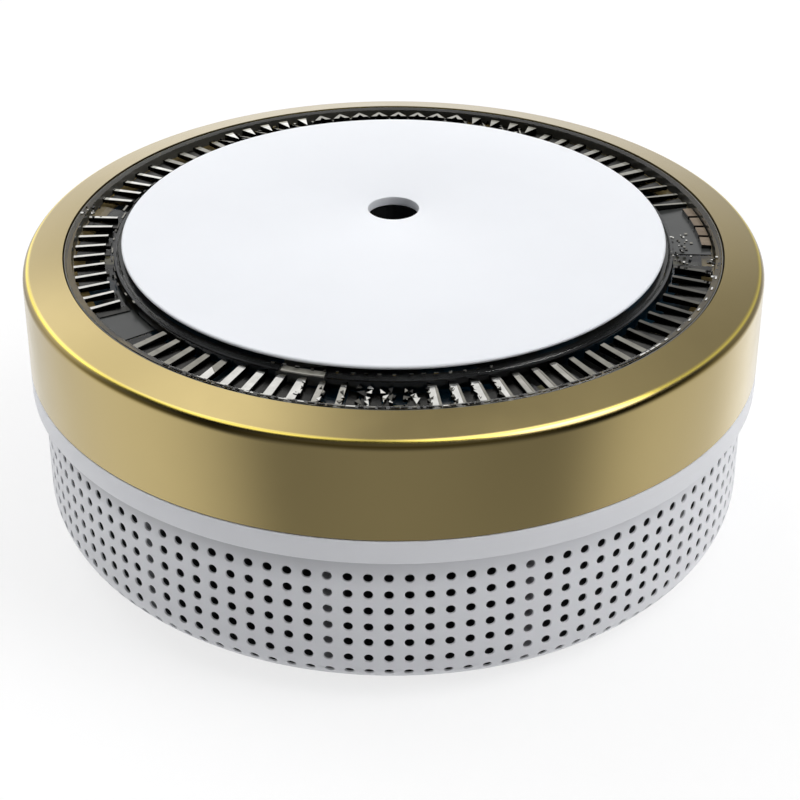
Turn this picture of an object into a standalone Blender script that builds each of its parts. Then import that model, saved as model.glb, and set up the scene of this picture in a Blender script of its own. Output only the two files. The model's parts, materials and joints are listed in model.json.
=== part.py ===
"""Air quality monitor: a round table-top unit with a perforated base and a clear light ring.

The unit stands on the XY plane with its axis on Z. Its front faces -Y and its power
inlet faces +Y. Bearings are measured from the front (-Y) towards +X.
Heights and radii below are in millimetres, turned into metres by MM.
"""
import math

import bmesh
import bpy
from mathutils import Matrix, Vector

MM = 0.001
GAP = 0.3 * MM                      # clearance kept between neighbouring pieces
OUTER = 60                          # facets round the pieces that show outside
INNER = 48                          # facets round the large inner pieces
SMALL = 24                          # facets round the small turned pieces
DRILL = 16                          # facets round a drilled hole

# Driving dimensions of the outside
BODY_RADIUS = 60.0 * MM             # gold ring and white band
WALL_RADIUS = 58.2 * MM             # perforated wall, outside
WALL_THICKNESS = 1.8 * MM
BASE_HEIGHT = 1.0 * MM              # underside of the base, held up by the pad
BASE_FILLET = 8.0 * MM              # rounded lower edge of the perforated base
BAND_LOW = 26.8 * MM                # white band, lower edge
BAND_HIGH = 30.75 * MM              # white band, upper edge
RING_FILLET = 1.2 * MM              # outer edge of the gold ring
RING_INNER_RADIUS = 53.35 * MM
RING_INNER_HEIGHT = 48.96 * MM      # height of the gold ring at its inner edge
RING_SLOPE = math.radians(14.5)     # fall of the gold ring's top towards the outside
LEDGE_RADIUS = 50.0 * MM            # ledge inside the gold ring, under the clear ring
LEDGE = (44.9 * MM, 45.7 * MM)      # its lower and upper face
DISC_RADIUS = 44.0 * MM
DISC_TOP = 50.57 * MM
DISC_THICKNESS = 0.7 * MM
HOLE_RADIUS = 4.2 * MM             # sensing hole in the disc
HOLE_PLACE = Vector((0.0, 7.8 * MM, 0.0))   # it sits behind the middle
COLLAR_RADIUS = 6.0 * MM            # collar under the disc round the hole
COLLAR_LOW = 48.97 * MM

# Perforated wall
COLUMNS = 120                       # columns of holes round the wall
SLOT_STEP = 2                       # a slot stands for every second column
SLOT_WIDTH = 1.45 * MM
SLOT_LOW = 9.4 * MM
SLOT_HIGH = 23.75 * MM
FIRST_COLUMN = math.radians(-0.665)
RIBS = 12
FIRST_RIB_COLUMN = -3               # ribs stand behind every tenth column

# Clear light ring
TEETH = 90
TOOTH_OUTER = 51.9 * MM
TOOTH_INNER = 46.5 * MM
TOOTH_HIGH = 48.3 * MM
TOOTH_LOW = 47.3 * MM
RING_LEGS = ((-105.0, 4.0), (-61.0, 8.0), (83.0, 4.0), (98.0, 8.0))   # bearing, width in mm
LEG_RADII = (48.4 * MM, 49.7 * MM)

# Boards and fasteners
MAIN_BOARD = (11.0 * MM, 12.6 * MM)         # lower and upper face
TOP_BOARD = (38.3 * MM, 39.9 * MM)
DECK = (36.5 * MM, 38.0 * MM)
BOSS_OFFSET = 23.3 * MM                     # the four base screws, in X and in Y
BOARD_SCREW_RADIUS = 24.0 * MM
BOARD_SCREW_BEARINGS = (0.0, 120.0, 240.0)
LED_COUNT = 12
LED_RADIUS = 46.5 * MM
BUTTON_PLACE = Vector((0.0, -32.5 * MM, 0.0))
FAN_PLACE = Vector((-20.0 * MM, 2.0 * MM, 0.0))
FAN_BLADES = 9
INLET_HEIGHT = 14.53 * MM                   # middle of the power inlet


def millimetres(*values):
    """Turn a point given in millimetres into metres."""
    return Vector([value * MM for value in values])


def bearing_point(degrees, radius, height=0.0):
    """A point at a bearing from the front (-Y), counted towards +X."""
    angle = math.radians(degrees)
    return Vector((radius * math.sin(angle), -radius * math.cos(angle), height))


def arc(centre_r, centre_z, radius, start, end, steps):
    """Points of an arc in the (radius, height) plane, from start to end in degrees."""
    points = []
    for step in range(steps + 1):
        angle = math.radians(start + (end - start) * step / steps)
        points.append((centre_r + radius * math.cos(angle), centre_z + radius * math.sin(angle)))
    return points


# ---------------------------------------------------------------- materials

def material(name, colour, roughness, metallic=0.0, transmission=0.0):
    """A Principled material with one colour."""
    surface = bpy.data.materials.new(name)
    surface.use_nodes = True
    shader = surface.node_tree.nodes["Principled BSDF"]
    shader.inputs["Base Color"].default_value = (*colour, 1.0)
    shader.inputs["Roughness"].default_value = roughness
    shader.inputs["Metallic"].default_value = metallic
    shader.inputs["Transmission Weight"].default_value = transmission
    surface.diffuse_color = (*colour, 1.0)
    return surface


WHITE = (0.82, 0.83, 0.85)
GOLD = (0.45, 0.34, 0.13)
CLEAR = (0.75, 0.76, 0.74)
BLACK = (0.012, 0.012, 0.013)
BOARD_BLUE = (0.01, 0.09, 0.22)
BOARD_GREEN = (0.02, 0.16, 0.07)
STEEL = (0.62, 0.62, 0.60)
RUBBER = (0.03, 0.03, 0.03)
PALE_GREY = (0.55, 0.54, 0.50)


# ---------------------------------------------------------------- mesh helpers

def finish(name, shape, surface, place=None):
    """Turn a bmesh into a named object with its material, shaded smooth."""
    bmesh.ops.recalc_face_normals(shape, faces=shape.faces)
    mesh = bpy.data.meshes.new(name)
    shape.to_mesh(mesh)
    shape.free()
    mesh.shade_smooth()
    mesh.set_sharp_from_angle(angle=math.radians(35))
    mesh.materials.append(surface)
    piece = bpy.data.objects.new(name, mesh)
    bpy.context.scene.collection.objects.link(piece)
    if place is not None:
        piece.location = place
    return piece


def add_turned(shape, outline, segments):
    """Add a closed (radius, height) outline revolved round Z."""
    verts = [shape.verts.new((radius, 0.0, height)) for radius, height in outline]
    pairs = list(zip(verts, verts[1:]))
    on_axis = outline[0][0] == 0.0 and outline[-1][0] == 0.0
    if not on_axis:
        pairs.append((verts[-1], verts[0]))
    edges = [shape.edges.new(pair) for pair in pairs]
    bmesh.ops.spin(shape, geom=verts + edges, cent=(0, 0, 0), axis=(0, 0, 1),
                   angle=2 * math.pi, steps=segments, use_merge=True)
    bmesh.ops.remove_doubles(shape, verts=shape.verts, dist=1e-7)


def turned(name, outline, surface, segments=OUTER, place=None):
    """One solid of revolution about its own Z axis."""
    shape = bmesh.new()
    add_turned(shape, outline, segments)
    return finish(name, shape, surface, place)


def add_box(shape, low, high, turn=None):
    """Add a box between two corners, then turn it."""
    size = high - low
    matrix = Matrix.Translation((low + high) / 2) @ Matrix.Diagonal((*size, 1.0))
    if turn is not None:
        matrix = turn @ matrix
    bmesh.ops.create_cube(shape, size=1.0, matrix=matrix)


def add_cylinder(shape, centre, radius, low, high, segments=DRILL):
    """Add an upright cylinder between two heights."""
    middle = Vector((centre[0], centre[1], (low + high) / 2))
    bmesh.ops.create_cone(shape, cap_ends=True, segments=segments, radius1=radius,
                          radius2=radius, depth=high - low, matrix=Matrix.Translation(middle))


def block(name, low, high, surface, bevel=0.4 * MM):
    """A box with slightly bevelled edges."""
    shape = bmesh.new()
    add_box(shape, low, high)
    if bevel:
        bmesh.ops.bevel(shape, geom=shape.edges[:], offset=bevel, segments=1, affect='EDGES')
    return finish(name, shape, surface)


def tool_shape(name, shape):
    """A hidden helper that another piece is cut by or joined with."""
    helper = finish(name, shape, bpy.data.materials["helper"])
    helper.hide_render = True
    helper.display_type = 'WIRE'
    return helper


def combine(piece, helper, operation):
    """Add a Boolean modifier with the exact solver."""
    modifier = piece.modifiers.new(helper.name, 'BOOLEAN')
    modifier.operation = operation
    modifier.solver = 'EXACT'
    modifier.object = helper


def bearing_turn(degrees):
    """A turn that brings a box drawn along -Y to its bearing."""
    return Matrix.Rotation(math.radians(degrees), 4, 'Z')


# ---------------------------------------------------------------- outside

def make_top_disc(surface):
    """Thin white cover with a collar round its sensing hole."""
    edge = 0.25 * MM
    low = DISC_TOP - DISC_THICKNESS
    outline = [
        (0.0, low),
        (DISC_RADIUS - edge, low),
        (DISC_RADIUS, low + edge),
        (DISC_RADIUS, DISC_TOP - edge),
        (DISC_RADIUS - edge, DISC_TOP),
        (0.0, DISC_TOP),
    ]
    disc = turned("top_disc", outline, surface)
    collar = bmesh.new()
    add_cylinder(collar, HOLE_PLACE, COLLAR_RADIUS, COLLAR_LOW, DISC_TOP - edge, SMALL)
    combine(disc, tool_shape("join_collar", collar), 'UNION')
    hole = bmesh.new()
    add_cylinder(hole, HOLE_PLACE, HOLE_RADIUS, COLLAR_LOW - 1.0 * MM, DISC_TOP + 1.0 * MM, SMALL)
    combine(disc, tool_shape("cut_disc_hole", hole), 'DIFFERENCE')


def make_gold_ring(surface):
    """Metal trim ring: outer wall, sloping top and an inner lip with a ledge."""
    def top_height(radius):
        return RING_INNER_HEIGHT - math.tan(RING_SLOPE) * (radius - RING_INNER_RADIUS)

    wall = 1.2 * MM
    lip = 1.1 * MM
    roof = 1.45 * MM
    low = BAND_HIGH + GAP
    lip_low = 41.0 * MM
    centre_r = BODY_RADIUS - RING_FILLET
    centre_z = top_height(centre_r) - RING_FILLET / math.cos(RING_SLOPE)
    inner_wall = BODY_RADIUS - wall
    lip_radius = RING_INNER_RADIUS + lip
    outline = [(BODY_RADIUS, low)]
    outline += arc(centre_r, centre_z, RING_FILLET, 0, 90 - math.degrees(RING_SLOPE), 4)
    outline += [
        (RING_INNER_RADIUS, RING_INNER_HEIGHT),
        (RING_INNER_RADIUS, LEDGE[1]),
        (LEDGE_RADIUS, LEDGE[1]),
        (LEDGE_RADIUS, LEDGE[0]),
        (RING_INNER_RADIUS, LEDGE[0]),
        (RING_INNER_RADIUS, lip_low),
        (lip_radius, lip_low),
        (lip_radius, top_height(lip_radius) - roof),
        (inner_wall, top_height(inner_wall) - roof),
        (inner_wall, low),
    ]
    turned("gold_ring", outline, surface)


def ring_profile(tooth):
    """Outline of the clear ring at one bearing, with its rib or groove at the given height."""
    return [
        (53.05 * MM, 48.85 * MM),
        (53.05 * MM, 46.00 * MM),
        (41.50 * MM, 46.90 * MM),
        (41.50 * MM, 49.35 * MM),
        (TOOTH_INNER - 0.3 * MM, 48.75 * MM),
        (TOOTH_INNER, tooth),
        (TOOTH_OUTER, tooth),
        (TOOTH_OUTER + 0.3 * MM, 48.65 * MM),
    ]


def make_light_ring(surface):
    """Clear ring with radial prism teeth on top and four legs down to the top board."""
    shape = bmesh.new()
    stations = 2 * TEETH
    loops = []
    for station in range(stations):
        tooth = TOOTH_LOW if station % 2 else TOOTH_HIGH
        angle = 360.0 * station / stations
        loops.append([shape.verts.new(bearing_point(angle, radius, height))
                      for radius, height in ring_profile(tooth)])
    count = len(loops[0])
    for station in range(stations):
        near = loops[station]
        far = loops[(station + 1) % stations]
        for point in range(count):
            after = (point + 1) % count
            shape.faces.new((near[point], far[point], far[after], near[after]))
    ring = finish("light_ring", shape, surface)

    legs = bmesh.new()
    low = TOP_BOARD[1] + GAP
    for bearing, width in RING_LEGS:
        half = width * MM / 2
        corner_low = Vector((-half, -LEG_RADII[1], low))
        corner_high = Vector((half, -LEG_RADII[0], 46.9 * MM))
        add_box(legs, corner_low, corner_high, bearing_turn(bearing))
    combine(ring, tool_shape("join_ring_legs", legs), 'UNION')


def make_upper_housing(surface):
    """White housing: visible band, wall inside the gold ring, deck and four screw bosses."""
    skirt_inner = WALL_RADIUS + GAP
    collar_outer = WALL_RADIUS - WALL_THICKNESS - GAP
    collar_inner = collar_outer - 1.2 * MM
    groove_top = 29.3 * MM
    sleeve_outer = BODY_RADIUS - 1.6 * MM
    sleeve_inner = sleeve_outer - 1.4 * MM
    sleeve_top = 45.5 * MM
    outline = [
        (0.0, DECK[0]),
        (collar_inner, DECK[0]),
        (collar_inner, BAND_LOW + 0.5 * MM),
        (collar_outer, BAND_LOW + 0.5 * MM),
        (collar_outer, groove_top),
        (skirt_inner, groove_top),
        (skirt_inner, BAND_LOW),
        (BODY_RADIUS, BAND_LOW),
        (BODY_RADIUS, BAND_HIGH),
        (sleeve_outer, BAND_HIGH),
        (sleeve_outer, sleeve_top),
        (sleeve_inner, sleeve_top),
        (sleeve_inner, DECK[1]),
        (0.0, DECK[1]),
    ]
    housing = turned("upper_housing", outline, surface, OUTER)

    overlap = 0.5 * MM
    bosses = bmesh.new()
    for centre in base_screw_places():
        add_cylinder(bosses, centre, 4.0 * MM, MAIN_BOARD[1] + GAP, DECK[0] + overlap)
    for bearing in BOARD_SCREW_BEARINGS:
        centre = bearing_point(bearing, BOARD_SCREW_RADIUS)
        add_cylinder(bosses, centre, 2.6 * MM, 31.0 * MM, DECK[0] + overlap)
    combine(housing, tool_shape("join_bosses", bosses), 'UNION')

    holes = bmesh.new()
    for centre in base_screw_places():
        add_cylinder(holes, centre, 1.8 * MM, MAIN_BOARD[1], 23.0 * MM)
    for bearing in BOARD_SCREW_BEARINGS:
        centre = bearing_point(bearing, BOARD_SCREW_RADIUS)
        add_cylinder(holes, centre, 1.3 * MM, 32.0 * MM, DECK[1] + overlap)
    add_box(holes, millimetres(-8, 19, 35), millimetres(8, 27, 39))
    combine(housing, tool_shape("cut_housing_holes", holes), 'DIFFERENCE')


def make_perforated_base(surface):
    """White cup: slotted wall, rounded lower edge, inner ribs and the inlet's window."""
    inner_radius = WALL_RADIUS - WALL_THICKNESS
    centre_r = WALL_RADIUS - BASE_FILLET
    centre_z = BASE_HEIGHT + BASE_FILLET
    opening = 50.0 * MM
    top = 29.0 * MM
    outline = [(WALL_RADIUS, top)]
    outline += arc(centre_r, centre_z, BASE_FILLET, 0, -90, 4)
    outline += [(opening, BASE_HEIGHT), (opening, BASE_HEIGHT + WALL_THICKNESS)]
    outline += arc(centre_r, centre_z, BASE_FILLET - WALL_THICKNESS, -90, 0, 4)
    outline += [(inner_radius, top)]
    base = turned("perforated_base", outline, surface)

    ribs = bmesh.new()
    pitch = 360.0 / COLUMNS
    for rib in range(RIBS):
        column = FIRST_RIB_COLUMN + rib * COLUMNS // RIBS
        bearing = math.degrees(FIRST_COLUMN) + pitch * column
        add_box(ribs, millimetres(-0.8, -56.9, 6.5), millimetres(0.8, -53.9, 26.0), bearing_turn(bearing))
    combine(base, tool_shape("join_ribs", ribs), 'UNION')

    slots = bmesh.new()
    for column in range(0, COLUMNS, SLOT_STEP):
        bearing = math.degrees(FIRST_COLUMN) + pitch * column
        if abs(bearing - 180.0) < 7.5:
            continue
        low = Vector((-SLOT_WIDTH / 2, -61.0 * MM, SLOT_LOW))
        high = Vector((SLOT_WIDTH / 2, -inner_radius + 0.25 * MM, SLOT_HIGH))
        add_box(slots, low, high, bearing_turn(bearing))
    window_low = Vector((-4.95 * MM, 52.0 * MM, INLET_HEIGHT - 2.1 * MM))
    window_high = Vector((4.95 * MM, 62.0 * MM, INLET_HEIGHT + 2.1 * MM))
    add_box(slots, window_low, window_high)
    combine(base, tool_shape("cut_slots", slots), 'DIFFERENCE')


def make_base_plate(surface):
    """Underside plate with a groove for the pad, four screw posts and the button's hole."""
    floor_top = 3.2 * MM
    outline = [
        (0.0, BASE_HEIGHT),
        (37.7 * MM, BASE_HEIGHT),
        (37.7 * MM, BASE_HEIGHT + 0.6 * MM),
        (48.3 * MM, BASE_HEIGHT + 0.6 * MM),
        (48.3 * MM, BASE_HEIGHT),
        (49.7 * MM, BASE_HEIGHT),
        (49.7 * MM, floor_top),
        (51.2 * MM, floor_top),
        (51.2 * MM, 4.7 * MM),
        (47.0 * MM, 4.7 * MM),
        (47.0 * MM, floor_top),
        (0.0, floor_top),
    ]
    plate = turned("base_plate", outline, surface, INNER)

    posts = bmesh.new()
    for centre in base_screw_places():
        add_cylinder(posts, centre, 4.5 * MM, floor_top - 0.5 * MM, MAIN_BOARD[0] - GAP)
    combine(plate, tool_shape("join_posts", posts), 'UNION')

    holes = bmesh.new()
    for centre in base_screw_places():
        outline = [
            (0.0, 0.0),
            (3.3 * MM, 0.0),
            (3.3 * MM, 8.7 * MM),
            (1.8 * MM, 8.7 * MM),
            (1.8 * MM, 12.0 * MM),
            (0.0, 12.0 * MM),
        ]
        part = bmesh.new()
        add_turned(part, outline, DRILL)
        bmesh.ops.translate(part, verts=part.verts, vec=centre)
        copy_into(holes, part)
    add_cylinder(holes, BUTTON_PLACE, 2.6 * MM, 0.0, 5.0 * MM)
    combine(plate, tool_shape("cut_plate_holes", holes), 'DIFFERENCE')


def copy_into(shape, part):
    """Add one bmesh's geometry to another and free it."""
    mesh = bpy.data.meshes.new("transfer")
    part.to_mesh(mesh)
    part.free()
    shape.from_mesh(mesh)
    bpy.data.meshes.remove(mesh)


def make_anti_slip_pad(surface):
    """Flat rubber ring that the unit stands on."""
    outline = [
        (38.0 * MM, 0.0),
        (48.0 * MM, 0.0),
        (48.0 * MM, BASE_HEIGHT + 0.3 * MM),
        (38.0 * MM, BASE_HEIGHT + 0.3 * MM),
    ]
    turned("anti_slip_pad", outline, surface, INNER)


# ---------------------------------------------------------------- power inlet and button

def add_rounded_bar(shape, width, height, front, back):
    """Add a bar with rounded ends in X, running along Y, centred on the inlet's height."""
    radius = height / 2
    half = width / 2 - radius
    outline = []
    for side in (1, -1):
        for step in range(9):
            angle = math.radians(-90 + 22.5 * step) if side > 0 else math.radians(90 + 22.5 * step)
            outline.append((side * half + radius * math.cos(angle), radius * math.sin(angle)))
    verts = [shape.verts.new((x, front, INLET_HEIGHT + z)) for x, z in outline]
    face = shape.faces.new(verts)
    grown = bmesh.ops.extrude_face_region(shape, geom=[face])
    moved = [item for item in grown["geom"] if isinstance(item, bmesh.types.BMVert)]
    bmesh.ops.translate(shape, verts=moved, vec=(0.0, back - front, 0.0))


def make_usb_inlet(shell_surface, tongue_surface):
    """Power inlet: an open metal shell and the tongue inside it."""
    shape = bmesh.new()
    add_rounded_bar(shape, 8.94 * MM, 3.26 * MM, 50.6 * MM, 57.9 * MM)
    shell = finish("usb_inlet", shape, shell_surface)
    hollow = bmesh.new()
    add_rounded_bar(hollow, 8.34 * MM, 2.66 * MM, 51.4 * MM, 60.0 * MM)
    combine(shell, tool_shape("cut_inlet", hollow), 'DIFFERENCE')
    low = Vector((-3.3 * MM, 51.7 * MM, INLET_HEIGHT - 0.35 * MM))
    high = Vector((3.3 * MM, 57.0 * MM, INLET_HEIGHT + 0.35 * MM))
    block("usb_tongue", low, high, tongue_surface, bevel=0.1 * MM)


def make_reset_button(cap_surface, switch_surface):
    """Push button in the underside; its origin is on the line that it slides along."""
    outline = [
        (0.0, 1.2 * MM),
        (2.0 * MM, 1.2 * MM),
        (2.3 * MM, 1.5 * MM),
        (2.3 * MM, 3.5 * MM),
        (3.3 * MM, 3.5 * MM),
        (3.3 * MM, 4.4 * MM),
        (1.5 * MM, 4.4 * MM),
        (1.5 * MM, 6.0 * MM),
        (0.0, 6.0 * MM),
    ]
    turned("reset_button", outline, cap_surface, SMALL, BUTTON_PLACE)

    switch = bmesh.new()
    high = MAIN_BOARD[0] - GAP
    add_box(switch, Vector((-3.0 * MM, -3.0 * MM, 7.6 * MM)), Vector((3.0 * MM, 3.0 * MM, high)))
    body = finish("reset_switch", switch, switch_surface, BUTTON_PLACE)
    plunger = bmesh.new()
    add_cylinder(plunger, BUTTON_PLACE, 1.7 * MM, 6.9 * MM, 8.0 * MM)
    combine(body, tool_shape("join_plunger", plunger), 'UNION')


# ---------------------------------------------------------------- boards and what they carry

def base_screw_places():
    """Axes of the four long screws that hold the base to the housing."""
    return [Vector((x * BOSS_OFFSET, y * BOSS_OFFSET, 0.0)) for x in (-1, 1) for y in (-1, 1)]


def make_main_board(surface):
    """Lower circuit board with clearance holes for the four long screws."""
    radius = 53.3 * MM
    outline = [(0.0, MAIN_BOARD[0]), (radius, MAIN_BOARD[0]), (radius, MAIN_BOARD[1]), (0.0, MAIN_BOARD[1])]
    board = turned("main_board", outline, surface, INNER)
    holes = bmesh.new()
    for centre in base_screw_places():
        add_cylinder(holes, centre, 1.9 * MM, 10.0 * MM, 14.0 * MM)
    combine(board, tool_shape("cut_main_board", holes), 'DIFFERENCE')


def make_top_board(surface):
    """Upper circuit board under the clear ring."""
    radius = 52.0 * MM
    outline = [(0.0, TOP_BOARD[0]), (radius, TOP_BOARD[0]), (radius, TOP_BOARD[1]), (0.0, TOP_BOARD[1])]
    board = turned("top_board", outline, surface, INNER)
    holes = bmesh.new()
    for bearing in BOARD_SCREW_BEARINGS:
        add_cylinder(holes, bearing_point(bearing, BOARD_SCREW_RADIUS), 1.4 * MM, 37.0 * MM, 41.0 * MM)
    combine(board, tool_shape("cut_top_board", holes), 'DIFFERENCE')


def make_leds(surface):
    """Ring of indicator lamps on the top board."""
    low = TOP_BOARD[1] + GAP
    for number in range(LED_COUNT):
        shape = bmesh.new()
        corner_low = Vector((-1.5 * MM, -LED_RADIUS - 1.5 * MM, low))
        corner_high = Vector((1.5 * MM, -LED_RADIUS + 1.5 * MM, low + 1.2 * MM))
        add_box(shape, corner_low, corner_high, bearing_turn(360.0 * number / LED_COUNT))
        finish(f"led_{number + 1:02d}", shape, surface)


def make_centre_sensor(surface, tube_surface, carrier_surface):
    """Light sensor under the sensing hole, its dark tube and the drum that carries the disc."""
    low = TOP_BOARD[1] + GAP
    half = 1.6 * MM
    block("light_sensor", HOLE_PLACE + Vector((-half, -half, low)),
          HOLE_PLACE + Vector((half, half, low + 1.0 * MM)), surface, bevel=0.15 * MM)
    top = COLLAR_LOW - GAP
    outline = [(4.6 * MM, low), (6.2 * MM, low), (6.2 * MM, top), (4.6 * MM, top)]
    turned("centre_tube", outline, tube_surface, SMALL, HOLE_PLACE)
    drum_top = DISC_TOP - DISC_THICKNESS - GAP
    outline = [
        (27.0 * MM, low),
        (28.2 * MM, low),
        (28.2 * MM, drum_top),
        (20.0 * MM, drum_top),
        (20.0 * MM, drum_top - 1.2 * MM),
        (27.0 * MM, drum_top - 1.2 * MM),
    ]
    turned("disc_carrier", outline, carrier_surface, INNER)


def make_particle_sensor(case_surface, lid_surface, rotor_surface, motor_surface):
    """Fan-driven particle sensor: case with a fan well and air duct, lid, rotor and motor."""
    case_top = 26.2 * MM
    case = block("particle_sensor_case", millimetres(-47, -18.5, 12.9), Vector((-6 * MM, 18.5 * MM, case_top)),
                 case_surface, bevel=0.6 * MM)
    hollow = bmesh.new()
    add_cylinder(hollow, FAN_PLACE, 11.5 * MM, 15.0 * MM, 28.0 * MM, segments=SMALL)
    combine(case, tool_shape("cut_fan_well", hollow), 'DIFFERENCE')
    duct = bmesh.new()
    add_box(duct, millimetres(-50, -1, 18.5), millimetres(-25, 7, 23))
    combine(case, tool_shape("cut_air_duct", duct), 'DIFFERENCE')

    lid = block("particle_sensor_lid", millimetres(-46.8, -18.3, 26.5), millimetres(-6.2, 18.3, 27.3),
                lid_surface, bevel=0.2 * MM)
    opening = bmesh.new()
    add_cylinder(opening, FAN_PLACE, 9.5 * MM, 26.0 * MM, 28.0 * MM, segments=SMALL)
    combine(lid, tool_shape("cut_lid", opening), 'DIFFERENCE')

    hub_top = 24.9 * MM
    outline = [
        (0.0, hub_top),
        (4.5 * MM, hub_top),
        (4.5 * MM, 18.3 * MM),
        (10.5 * MM, 18.3 * MM),
        (10.5 * MM, 17.5 * MM),
        (1.0 * MM, 17.5 * MM),
        (1.0 * MM, 24.1 * MM),
        (0.0, 24.1 * MM),
    ]
    rotor = turned("fan_rotor", outline, rotor_surface, SMALL, FAN_PLACE)
    blades = bmesh.new()
    sweep = Matrix.Rotation(math.radians(25), 4, 'Z')
    for blade in range(FAN_BLADES):
        turn = Matrix.Rotation(2 * math.pi * blade / FAN_BLADES, 4, 'Z')
        hinge = Matrix.Translation((4.0 * MM, 0.0, 0.0))
        matrix = Matrix.Translation(FAN_PLACE) @ turn @ hinge @ sweep
        add_box(blades, Vector((0.0, -0.4 * MM, 18.0 * MM)), Vector((6.3 * MM, 0.4 * MM, 23.6 * MM)), matrix)
    combine(rotor, tool_shape("join_blades", blades), 'UNION')

    outline = [
        (0.0, 15.3 * MM),
        (4.2 * MM, 15.3 * MM),
        (4.2 * MM, 17.1 * MM),
        (0.7 * MM, 17.1 * MM),
        (0.7 * MM, 23.7 * MM),
        (0.0, 23.7 * MM),
    ]
    turned("fan_motor", outline, motor_surface, SMALL, FAN_PLACE)


def make_gas_sensors(can_surface, module_surface, membrane_surface):
    """Carbon dioxide module, gas cell, volatile gas sensor and humidity sensor."""
    low = MAIN_BOARD[1] + GAP
    block("co2_sensor", Vector((7 * MM, -10 * MM, low)), millimetres(40, 10, 23.6), module_surface, 0.8 * MM)
    block("co2_membrane", millimetres(14, -6, 23.9), millimetres(33, 6, 24.3), membrane_surface, 0.1 * MM)
    cell_top = 28.9 * MM
    edge = 0.8 * MM
    outline = [
        (0.0, low),
        (10.0 * MM, low),
        (10.0 * MM, cell_top - edge),
        (10.0 * MM - edge, cell_top),
        (5.0 * MM, cell_top),
        (5.0 * MM, cell_top - edge),
        (0.0, cell_top - edge),
    ]
    turned("gas_cell", outline, can_surface, SMALL, Vector((4 * MM, -38 * MM, 0.0)))
    outline = [(0.0, low), (4.6 * MM, low), (4.6 * MM, 18.0 * MM), (3.9 * MM, 18.7 * MM), (0.0, 18.7 * MM)]
    turned("voc_sensor", outline, can_surface, SMALL, Vector((39 * MM, 20 * MM, 0.0)))
    block("humidity_sensor", Vector((38 * MM, -28 * MM, low)), millimetres(43, -23, 15.4), membrane_surface)


def make_board_parts(metal, dark, pale, pack_surface):
    """Radio module, processor, sounder, battery and connectors."""
    low = MAIN_BOARD[1] + GAP
    block("radio_module", Vector((-18 * MM, 27 * MM, low)), millimetres(0, 45, 15.6), metal)
    block("processor", Vector((10 * MM, 30 * MM, low)), millimetres(20, 40, 14.2), dark, 0.2 * MM)
    outline = [(1.0 * MM, low), (6.0 * MM, low), (6.0 * MM, 20.0 * MM), (1.0 * MM, 20.0 * MM), (1.0 * MM, 19.0 * MM),
               (5.0 * MM, 19.0 * MM), (5.0 * MM, 14.0 * MM), (1.0 * MM, 14.0 * MM)]
    turned("sounder", outline, dark, SMALL, Vector((-16 * MM, -37 * MM, 0.0)))
    block("battery", millimetres(-17.5, -26, 3.6), millimetres(17.5, 26, 9.8), pack_surface, 0.9 * MM)
    block("main_connector", Vector((-6 * MM, 21 * MM, low)), millimetres(6, 25, 15.9), pale, 0.3 * MM)
    block("top_connector", millimetres(-6, 21, 35.0), Vector((6 * MM, 25 * MM, TOP_BOARD[0] - GAP)), pale, 0.3 * MM)
    block("ribbon_cable", millimetres(-5, 22.7, 16.2), millimetres(5, 23.3, 34.7), dark, 0.1 * MM)
    block("top_socket", Vector((-16.2 * MM, -34.8 * MM, TOP_BOARD[1] + GAP)), millimetres(-9.6, -29.2, 43.0), pale)


def make_screws(surface):
    """Four long screws through the base and three short ones in the top board."""
    outline = [
        (0.0, 6.0 * MM),
        (3.0 * MM, 6.0 * MM),
        (3.0 * MM, 8.4 * MM),
        (1.5 * MM, 8.4 * MM),
        (1.5 * MM, 22.0 * MM),
        (0.0, 22.0 * MM),
    ]
    for number, centre in enumerate(base_screw_places(), 1):
        turned(f"base_screw_{number}", outline, surface, DRILL, centre)
    head_low = TOP_BOARD[1] + GAP
    outline = [
        (0.0, 33.0 * MM),
        (1.0 * MM, 33.0 * MM),
        (1.0 * MM, head_low),
        (1.9 * MM, head_low),
        (1.9 * MM, head_low + 1.4 * MM),
        (0.0, head_low + 1.4 * MM),
    ]
    for number, bearing in enumerate(BOARD_SCREW_BEARINGS, 1):
        turned(f"board_screw_{number}", outline, surface, DRILL, bearing_point(bearing, BOARD_SCREW_RADIUS))


# ---------------------------------------------------------------- assembly

def main():
    """Clear the scene and build every piece."""
    for item in list(bpy.data.objects):
        bpy.data.objects.remove(item)
    material("helper", (1.0, 0.2, 0.2), 0.8)

    white = material("white_plastic", WHITE, 0.42)
    clear = material("clear_plastic", CLEAR, 0.05, transmission=0.9)
    black = material("black_plastic", BLACK, 0.5)
    steel = material("steel", STEEL, 0.35, metallic=1.0)
    pale = material("pale_plastic", PALE_GREY, 0.5)

    make_top_disc(material("disc_plastic", WHITE, 0.3))
    make_light_ring(clear)
    make_gold_ring(material("gold_metal", GOLD, 0.3, metallic=1.0))
    make_upper_housing(white)
    make_perforated_base(white)
    make_base_plate(white)
    make_anti_slip_pad(material("rubber", RUBBER, 0.8))
    make_usb_inlet(steel, black)
    make_reset_button(pale, steel)
    make_main_board(material("green_board", BOARD_GREEN, 0.4))
    make_top_board(material("blue_board", BOARD_BLUE, 0.35))
    make_leds(material("led_package", (0.85, 0.82, 0.65), 0.3))
    make_centre_sensor(black, black, black)
    make_particle_sensor(material("sensor_case", (0.15, 0.25, 0.45), 0.45), steel, black, steel)
    make_gas_sensors(steel, material("module_case", (0.75, 0.73, 0.66), 0.5), pale)
    make_board_parts(steel, black, pale, material("battery_wrap", (0.55, 0.6, 0.66), 0.4))
    make_screws(steel)


main()
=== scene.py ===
"""Looks of the round air quality monitor: fine surfaces, materials, studio light and camera."""
import json
import math
import random

import bmesh
import bpy
from mathutils import Matrix, Vector


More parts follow.
